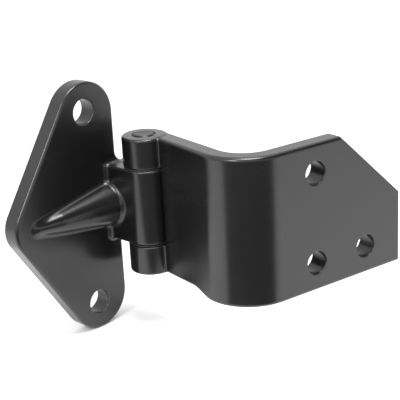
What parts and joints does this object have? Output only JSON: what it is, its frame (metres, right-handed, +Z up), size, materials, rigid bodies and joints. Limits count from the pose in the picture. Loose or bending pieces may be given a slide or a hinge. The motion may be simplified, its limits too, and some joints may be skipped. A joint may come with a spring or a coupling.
{
  "type": "offset swing hinge",
  "caption": "Black coated offset swing hinge: a three-cornered mounting bracket with a tapered rib and a thick strap bent at a right angle, joined by a pin in flanged bushes.",
  "frame": {"origin": "on the mounting bracket's flat rear face, midway between its two bolt holes", "axes": "+Z up along the hinge pin, +Y out of the bracket's rear face towards the post or body it bolts to, +X from the bracket's pointed end towards the hinge pin"},
  "size_m": [0.1143, 0.0844, 0.0926],
  "materials": {
    "bracket_coat": "semi-gloss black coat over forged steel",
    "strap_coat": "semi-gloss black coat over thick bent steel",
    "pin_steel": "blackened steel, lightly oiled",
    "bush_polymer": "black moulded bearing polymer"
  },
  "bodies": {
    "bracket": {"mounting_bracket": "bracket_coat", "upper_bush": "bush_polymer", "lower_bush": "bush_polymer"},
    "strap": {"strap_leaf": "strap_coat", "hinge_pin": "pin_steel"}
  },
  "joints": [
    {"name": "strap_swing", "type": "hinge", "parent": "bracket", "child": "strap", "pos_m": [0.016, -0.019, 0.0006], "axis": [0, 0, -1], "range_deg": [-65, 93]}
  ]
}
